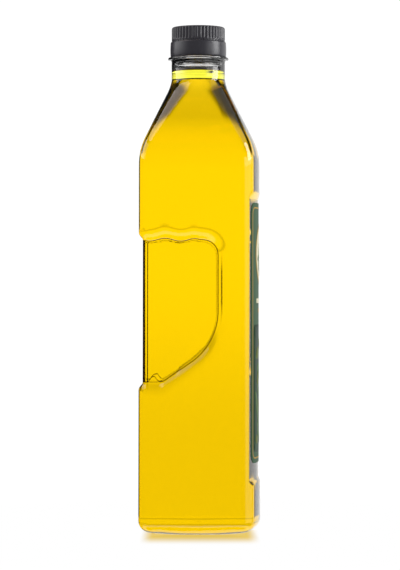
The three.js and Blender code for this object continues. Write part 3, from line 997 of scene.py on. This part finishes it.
def clearPet():
    # blown PET: clear, high gloss, with the faint waviness of a stretched wall,
    # and painted shade: brown hairlines painted where a sharp crease of the mould bends the light
    # away
    material, add = newMaterial("blown clear PET")
    coords = add("ShaderNodeTexCoord").outputs["Object"]
    place = add("ShaderNodeSeparateXYZ", [coords]).outputs
    edge = add("ShaderNodeAttribute", attribute_name="creaseShade").outputs["Fac"]
    def line(value, middle, halfWidth, strength):
        away = add("ShaderNodeMath", [
            add("ShaderNodeMath", [value, middle], operation="SUBTRACT")
        ], operation="ABSOLUTE")
        return add("ShaderNodeMapRange", {
            "Value": away, "From Min": halfWidth, "From Max": halfWidth * creaseShade["lineCore"],
            "To Max": strength,
        }, interpolation_type="SMOOTHSTEP")

    def between(value, low, high, blur):
        rise = add("ShaderNodeMapRange", {
            "Value": value, "From Min": low - blur, "From Max": low + blur
        })
        fall = add("ShaderNodeMapRange", {
            "Value": value, "From Min": high + blur, "From Max": high - blur
        })
        return add("ShaderNodeMath", [rise, fall], operation="MULTIPLY")

    c = creaseShade
    # painted shade: a dark hairline along the crease round the grip's floor
    gripShadeLine = line(edge, 0.0, c["gripWidth"], c["gripStrength"])
    # painted shade: a second dark line just outside the grip's crease, on one side and between two
    # heights
    wallShadeLine = add("ShaderNodeMath", [
        line(edge, c["wallAway"], c["wallWidth"], c["wallStrength"]),
        add("ShaderNodeMath", [
            between(place[2], c["wallFoot"], c["wallTop"], c["wallBlur"]),
            add("ShaderNodeMath", [place[0], 0.0], operation="GREATER_THAN"),
        ], operation="MULTIPLY"),
    ], operation="MULTIPLY")
    # painted shade: a dark line round the foot of the neck
    neckShadeLine = line(place[2], bottle["neckFoot"] * mm, c["neckWidth"] * mm, c["neckStrength"])
    # painted shade: a near-black stripe at the grip's back corner, on the -Y side only
    inward = add("ShaderNodeMath", [place[0], axisX], operation="SUBTRACT")
    atCorner = add("ShaderNodeMapRange", {
        "Value": inward, "From Min": c["cornerStart"] * mm, "From Max": c["cornerFull"] * mm
    })
    atCorner = add("ShaderNodeMath", [
        atCorner, add("ShaderNodeMath", [place[1], c["cornerSide"] * mm], operation="LESS_THAN")
    ], operation="MULTIPLY")
    cornerShadeLine = add("ShaderNodeMath", [
        atCorner, add("ShaderNodeMath", [edge, 0.0], operation="LESS_THAN")
    ], operation="MULTIPLY")
    # all the painted shade lines together
    paintedShade = add("ShaderNodeMath", [
        add("ShaderNodeMath", [gripShadeLine, wallShadeLine], operation="MAXIMUM"), neckShadeLine
    ], operation="MAXIMUM")
    # the clear wall's white colour, darkened by the painted shade lines and then by the painted
    # corner stripe
    colour = add("ShaderNodeMix", {
        0: paintedShade, 6: linear("ffffff"), 7: linear(c["colour"])
    }, data_type="RGBA").outputs[2]
    colour = add("ShaderNodeMix", {
        0: cornerShadeLine, 6: colour, 7: linear(c["cornerShadeColour"])
    }, data_type="RGBA").outputs[2]
    wave = add("ShaderNodeTexNoise", {
        "Vector": coords, "Scale": 1 / (finish["waveSize"] * mm), "Detail": 1.0
    })
    bump = add("ShaderNodeBump", {
        "Strength": finish["waveStrength"], "Distance": finish["waveHeight"] * mm, "Height": wave
    })
    shader = add("ShaderNodeBsdfPrincipled", {
        "Base Color": colour, "Roughness": 0.0, "IOR": finish["petIor"],
        "Transmission Weight": 1.0, "Normal": bump,
    })
    finishMaterial(add, shader)
    return material


def wettedPet():
    # the same wall where oil lies on it: the surface between the two hardly reflects
    material, add = newMaterial("blown clear PET wetted by oil")
    shader = add("ShaderNodeBsdfPrincipled", {
        "Base Color": linear("ffffff"), "Roughness": 0.0, "IOR": finish["petIor"],
        "Transmission Weight": 1.0, "Specular Tint": linear("000000"),
    })
    finishMaterial(add, shader)
    return material


def oliveOil():
    # filtered olive oil: clear golden yellow that deepens with the way the light travels through it
    material, add = newMaterial("olive oil")
    coords = add("ShaderNodeTexCoord").outputs["Object"]
    height = add("ShaderNodeSeparateXYZ", [coords]).outputs[2]
    # painted light: above the neck's foot the oil is left untinted, so it reads lighter than in the
    # body
    belowLitNeck = add("ShaderNodeMapRange", {
        "Value": height, "From Min": finish["oilLitNeckFoot"], "From Max": finish["oilLitNeckFadeFoot"]
    })
    # painted shade: towards the bottom the tint turns a darker golden
    shadedLow = add("ShaderNodeMapRange", {
        "Value": height, "From Min": finish["oilShadeStart"], "From Max": finish["oilShadeFull"]
    }, interpolation_type="SMOOTHSTEP")
    golden = add("ShaderNodeMix", {
        0: shadedLow, 6: linear(finish["oilUpper"]), 7: linear(finish["oilShadedLow"])
    }, data_type="RGBA").outputs[2]
    # the golden tint with its painted shade, left out where the neck has painted light
    tint = add("ShaderNodeMix", {
        0: belowLitNeck, 6: linear("ffffff"), 7: golden
    }, data_type="RGBA").outputs[2]
    shader = add("ShaderNodeBsdfPrincipled", {
        "Base Color": tint, "Roughness": 0.0, "IOR": finish["oilIor"], "Transmission Weight": 1.0,
        "Specular Tint": linear("000000"),
    })
    depth = add("ShaderNodeVolumeAbsorption", {
        "Color": linear(finish["oilDepth"]), "Density": finish["oilDensity"]
    })
    finishMaterial(add, shader, depth)
    return material


def capPlastic():
    # moulded polypropylene, charcoal, satin with a fine mould grain
    material, add = newMaterial("moulded polypropylene")
    coords = add("ShaderNodeTexCoord").outputs["Object"]
    grain = add("ShaderNodeTexNoise", {
        "Vector": coords, "Scale": 1 / (finish["grainSize"] * mm), "Detail": 2.0
    })
    bump = add("ShaderNodeBump", {
        "Strength": finish["grainStrength"], "Distance": finish["grainHeight"] * mm,
        "Height": grain,
    })
    shader = add("ShaderNodeBsdfPrincipled", {
        "Base Color": linear("3a393f"), "Roughness": 0.3, "IOR": 1.5, "Normal": bump
    })
    finishMaterial(add, shader)
    return material


def labelFilm(name, colour):
    # printed polypropylene film: flat ink under a soft gloss
    material, add = newMaterial(name)
    shader = add("ShaderNodeBsdfPrincipled", {
        "Base Color": linear(colour), "Roughness": 0.5, "Specular IOR Level": 0.12
    })
    finishMaterial(add, shader)
    return material


capFinish = capPlastic()
makeBottle(clearPet(), wettedPet())
makeOil(oliveOil())
print("bottle and oil made")
makeCap(capFinish)
makeBand(capFinish)
makeBridges(capFinish)
makeLabel(labelFilm("printed label film", "2c5433"))
makePrint(
    labelFilm("cream ink", "d9d3b4"), labelFilm("gold ink", "b08d3c"),
    labelFilm("leaf green ink", "4d6b35"), labelFilm("olive ink", "5e6a2a"),
    labelFilm("deep green ink", "1f3d28"),
)
print("cap, band and label made")


# Studio: white floor, bright horizon, a broad light on the left and a narrow one on the right

studio = {
    "cameraDistance": 1.348, "eyeHeight": 0.1404, "eyeAside": 0.0001,
    "lens": 148.4, "sensor": 36.0, "white": 1.05,
    # backdrop brightness at degrees above the horizon
    "backdrop": [
        (-76, 0.85), (-58, 0.85), (-48, 0.05), (-34, 0.03), (-30, 0.12), (-28, 0.27), (-26, 0.55),
        (-24, 0.85), (-22.8, 0.92), (-21.6, 0.98), (-18, 1.04), (-12, 1.12), (-6, 1.2),
        (-2.5, 1.22),
        (1, 1.26), (3, 1.26), (4.8, 0.8), (5.1, 0.93), (5.4, 0.95), (8, 1.3), (26, 1.3),
        (30, 1.1), (36, 0.2), (39, 0.04),
    ],
    "rampLow": -78, "rampHigh": 40,
    # soft steps: what is measured, and the degrees at which the step starts and is full
    "steps": {
        "frontWide": ("alongY", 42, 32), "sideWide": ("alongX", 17, 9),
        "lowDown": ("height", -6, -10), "highUp": ("height", 3, 4.6),
        "dipIn": ("onAxis", 5, 14), "dipOut": ("onAxis", 30, 22),
        "gapIn": ("onAxis", 22, 27), "gapOut": ("onAxis", 38, 33), "diagonal": ("onAxis", 20, 27),
        "behindIn": ("turn", -19.73, -8.27), "behindOut": ("turn", 77.73, 66.27),
        "behindLow": ("height", 22, 14),
        "tableIn": ("height", -38, -50), "tableOut": ("height", -68, -60),
        "ceiling": ("height", -30.1, -29.9),
    },
    "dipShare": 0.28, "tableLevel": 1.2, "ceilingShare": 0.97, "ceilingPasses": 4.5,
    "darkLevel": 0.02, "fill": 0.55,
    "floorSize": 0.2, "floorCorners": 96, "glossStart": 0.03, "glossEnd": 0.085,
    "glossShare": 0.15, "glossRoughness": 0.05, "glanceStart": 0.83, "glanceFull": 0.885,
    "glowHalfWidth": 0.033, "glowBlur": (0.001, 0.007), "glowStart": -0.034, "glowEnd": -0.08,
    "glowColour": "f2cf5e",
    # distance, azimuths from the camera's side, heights, level, faded share and colour
    "softboxes": {
        "fill_left": (0.3, (-44.0, -114.0), (0.284, 0.45), 2.4, 0.6, "ffffff"),
        "overhead_left": (0.8, (-25.0, -128.0), (1.0, 2.2), 2.2, 0.2, "fff0ea"),
        "strip_right": (0.3, (63.0, 91.0), (0.272, 0.45), 7.0, 0.0, "ffffff"),
        "fill_right": (0.8, (30.0, 95.0), (0.31, 0.5), 1.9, 0.2, "ffffff"),
        "fill_right_low": (0.8, (30.0, 95.0), (-0.3, 0.31), 0.7, 0.2, "ffffff"),
        "overhead_right": (0.8, (50.0, 140.0), (0.8, 2.2), 0.5, 0.2, "ffffff"),
    },
}


def makeWorld():
    # what the oil and the wall are seen against: a bright backdrop all round, dark overhead
    world = bpy.data.worlds.new("studio")
    bpy.context.scene.world = world
    world.use_nodes = True
    world.node_tree.nodes.clear()
    add = partial(addNode, world.node_tree)
    view = add("ShaderNodeTexCoord").outputs["Generated"]
    parts = add("ShaderNodeSeparateXYZ", [view]).outputs
    s = studio

    def cosine(angle):
        return math.cos(angle * degree)

    def sine(angle):
        return math.sin(angle * degree)

    level = add("ShaderNodeMath", [
        add("ShaderNodeMath", [
            add("ShaderNodeMath", [parts[0], parts[0]], operation="MULTIPLY"),
            add("ShaderNodeMath", [parts[1], parts[1]], operation="MULTIPLY"),
        ], operation="ADD"),
    ], operation="SQRT")
    alongX = add("ShaderNodeMath", [
        add("ShaderNodeMath", [parts[0]], operation="ABSOLUTE"), level
    ], operation="DIVIDE")
    alongY = add("ShaderNodeMath", [
        add("ShaderNodeMath", [parts[1]], operation="ABSOLUTE"), level
    ], operation="DIVIDE")
    # brightness of the backdrop by its height above or below the horizon
    bottom, span = sine(s["rampLow"]), sine(s["rampHigh"]) - sine(s["rampLow"])
    heights = add("ShaderNodeMapRange", {
        "Value": parts[2], "From Min": bottom, "From Max": bottom + span
    })
    ramp = add("ShaderNodeValToRGB", [heights])
    stops = ramp.color_ramp.elements
    for angle, value in s["backdrop"]:
        stop = stops.new((sine(angle) - bottom) / span)
        stop.color = (value / 2, value / 2, value / 2, 1)
    stops.remove(stops[0])
    stops.remove(stops[len(stops) - 1])
    # the ramp holds half the brightness
    backdrop = add("ShaderNodeMath", [ramp, 2.0], operation="MULTIPLY")
    onAxis = add("ShaderNodeMath", [alongX, alongY], operation="MAXIMUM")
    turn = add("ShaderNodeMath", [parts[0], parts[1]], operation="ARCTAN2")
    measures = {
        "alongX": (alongX, cosine), "alongY": (alongY, cosine), "onAxis": (onAxis, cosine),
        "height": (parts[2], sine), "turn": (turn, math.radians),
    }
    soft = {}
    for name, (measure, start, full) in s["steps"].items():
        value, scale = measures[measure]
        soft[name] = add("ShaderNodeMapRange", {
            "Value": value, "From Min": scale(start), "From Max": scale(full),
        }, interpolation_type="SMOOTHSTEP")
    # low down the backdrop has a soft dip and a dark gap beside each of its four parts
    wide = add("ShaderNodeMath", [soft["frontWide"], soft["sideWide"]], operation="MAXIMUM")
    dip = add("ShaderNodeMath", [soft["dipIn"], soft["dipOut"]], operation="MULTIPLY")
    gap = add("ShaderNodeMath", [soft["gapIn"], soft["gapOut"]], operation="MULTIPLY")
    parted = add("ShaderNodeMath", [
        add("ShaderNodeMath", [dip, -s["dipShare"], 1.0], operation="MULTIPLY_ADD"), gap
    ], operation="SUBTRACT")
    share = add("ShaderNodeMix", {
        0: soft["lowDown"], 2: wide, 3: add("ShaderNodeMath", [parted, 0.0], operation="MAXIMUM")
    })
    share = add("ShaderNodeMath", [share, soft["highUp"]], operation="MAXIMUM")
    seenThrough = add("ShaderNodeMath", [
        backdrop, share, s["darkLevel"]
    ], operation="MULTIPLY_ADD")
    # reflections see the table, and the backdrop behind the bottle on its right
    strip = add("ShaderNodeMath", [
        add("ShaderNodeMath", [soft["behindIn"], soft["behindOut"]], operation="MULTIPLY"),
        soft["behindLow"],
    ], operation="MULTIPLY")
    table = add("ShaderNodeMath", [
        add("ShaderNodeMath", [soft["tableIn"], soft["tableOut"]], operation="MULTIPLY"),
        s["tableLevel"],
    ], operation="MULTIPLY")
    reflected = add("ShaderNodeMath", [
        add("ShaderNodeMath", [strip, table], operation="MAXIMUM"), s["darkLevel"]
    ], operation="ADD")
    path = add("ShaderNodeLightPath").outputs
    passing = path["Is Transmission Ray"]
    through = add("ShaderNodeMath", [
        passing, add("ShaderNodeMath", [path["Glossy Depth"], 0.5], operation="LESS_THAN")
    ], operation="MULTIPLY")
    unseen = add("ShaderNodeMix", {0: through, 2: reflected, 3: seenThrough})
    # light turned round inside the bottle still finds the backdrop in the four diagonals
    turned = add("ShaderNodeMath", [passing, through], operation="SUBTRACT")
    diagonal = add("ShaderNodeMath", [soft["diagonal"], backdrop], operation="MULTIPLY")
    unseen = add("ShaderNodeMath", [turned, diagonal, unseen], operation="MULTIPLY_ADD")
    # the empty neck, with only four surfaces to pass, has a dark ceiling behind it
    fewPasses = add("ShaderNodeMath", [
        path["Transmission Depth"], s["ceilingPasses"]
    ], operation="LESS_THAN")
    ceiling = add("ShaderNodeMath", [
        soft["ceiling"], add("ShaderNodeMath", [fewPasses, passing], operation="MULTIPLY")
    ], operation="MULTIPLY")
    unseen = add("ShaderNodeMath", [
        unseen, add("ShaderNodeMath", [ceiling, -s["ceilingShare"], 1.0], operation="MULTIPLY_ADD")
    ], operation="MULTIPLY")
    unseen = add("ShaderNodeMath", [
        path["Is Diffuse Ray"], s["fill"], unseen
    ], operation="MULTIPLY_ADD")
    seen = path["Is Camera Ray"]
    strength = add("ShaderNodeMix", {0: seen, 2: unseen, 3: s["white"]})
    light = add("ShaderNodeBackground", {"Color": linear("ffffff"), "Strength": strength})
    add("ShaderNodeOutputWorld", {"Surface": light})


def makeSoftbox(name, distance, azimuths, heights, level, faded, colour):
    # an upright glowing panel between two azimuths from the camera's side, faded at the first one;
    # it gives gloss and shading, but is seen neither itself nor through the oil
    count = 12
    points = []
    for i in range(count + 1):
        turn = mix(*azimuths, i / count) * degree
        points += [(distance * math.sin(turn), -distance * math.cos(turn), z) for z in heights]
    faces = [(2 * i, 2 * i + 2, 2 * i + 3, 2 * i + 1) for i in range(count)]
    material, add = newMaterial(name)
    place = add("ShaderNodeUVMap", uv_map="across")
    share = add("ShaderNodeSeparateXYZ", [place])
    strength = add("ShaderNodeMapRange", {
        "Value": share, "From Min": 0.0, "From Max": max(faded, 0.001), "To Min": 0.0,
        "To Max": level,
    })
    glow = add("ShaderNodeEmission", {"Color": linear(colour), "Strength": strength})
    finishMaterial(add, glow)
    item = stageObject(name, points, faces, material)
    item.visible_camera = False
    across = item.data.uv_layers.new(name="across")
    for corner in item.data.loops:
        across.data[corner.index].uv = (corner.vertex_index // 2 / count, corner.vertex_index % 2)


def makeFloor():
    s = studio
    turns = [2 * math.pi * i / s["floorCorners"] for i in range(s["floorCorners"])]
    rim = [(s["floorSize"] * math.cos(turn), s["floorSize"] * math.sin(turn), 0) for turn in turns]
    material, add = newMaterial("polished white board")
    coords = add("ShaderNodeTexCoord").outputs["Object"]
    away = add("ShaderNodeVectorMath", [coords], operation="LENGTH").outputs["Value"]
    shine = add("ShaderNodeMapRange", {
        "Value": away, "From Min": s["glossEnd"], "From Max": s["glossStart"],
        "To Max": s["glossShare"],
    }, interpolation_type="SMOOTHSTEP")
    # it mirrors only at a low glance, as the photo's view has it
    glance = add("ShaderNodeLayerWeight", {"Blend": 0.5}).outputs["Facing"]
    low = add("ShaderNodeMapRange", {
        "Value": glance, "From Min": s["glanceStart"], "From Max": s["glanceFull"]
    })
    shine = add("ShaderNodeMath", [shine, low], operation="MULTIPLY")
    # yellow light that the oil throws on the board in front of it
    place = add("ShaderNodeSeparateXYZ", [coords]).outputs
    aside = add("ShaderNodeMath", [place[0]], operation="ABSOLUTE")
    across = add("ShaderNodeMapRange", {
        "Value": aside, "From Min": s["glowHalfWidth"] + s["glowBlur"][0],
        "From Max": s["glowHalfWidth"] - s["glowBlur"][1],
    }, interpolation_type="SMOOTHSTEP")
    along = add("ShaderNodeMapRange", {
        "Value": place[1], "From Min": s["glowEnd"], "From Max": s["glowStart"]
    }, interpolation_type="SMOOTHSTEP")
    front = add("ShaderNodeMath", [place[1], 0.0], operation="LESS_THAN")
    glow = add("ShaderNodeMath", [across, along], operation="MULTIPLY")
    glow = add("ShaderNodeMath", [glow, front], operation="MULTIPLY")
    glow = add("ShaderNodeMath", [glow, low], operation="MULTIPLY")
    colour = add("ShaderNodeMix", {
        0: glow, 6: linear("ffffff"), 7: linear(s["glowColour"])
    }, data_type="RGBA").outputs[2]
    white = add("ShaderNodeEmission", {"Color": colour, "Strength": 1.0})
    mirror = add("ShaderNodeBsdfGlossy", {
        "Color": linear("ffffff"), "Roughness": s["glossRoughness"]
    })
    surface = add("ShaderNodeMixShader", [shine, white, mirror])
    finishMaterial(add, surface)
    item = stageObject("floor", rim, [tuple(range(len(rim)))], material)
    item.visible_glossy = False


def makeCamera():
    data = bpy.data.cameras.new("camera")
    data.lens = studio["lens"]
    data.sensor_width = studio["sensor"]
    item = bpy.data.objects.new("camera", data)
    item.location = (studio["eyeAside"], -studio["cameraDistance"], studio["eyeHeight"])
    item.rotation_euler = (math.pi / 2, 0, 0)
    bpy.context.scene.collection.objects.link(item)
    bpy.context.scene.camera = item


makeCamera()
makeWorld()
makeFloor()
for softboxName, given in studio["softboxes"].items():
    makeSoftbox(softboxName, *given)
bpy.context.scene.view_settings.view_transform = "Standard"
print("studio made")
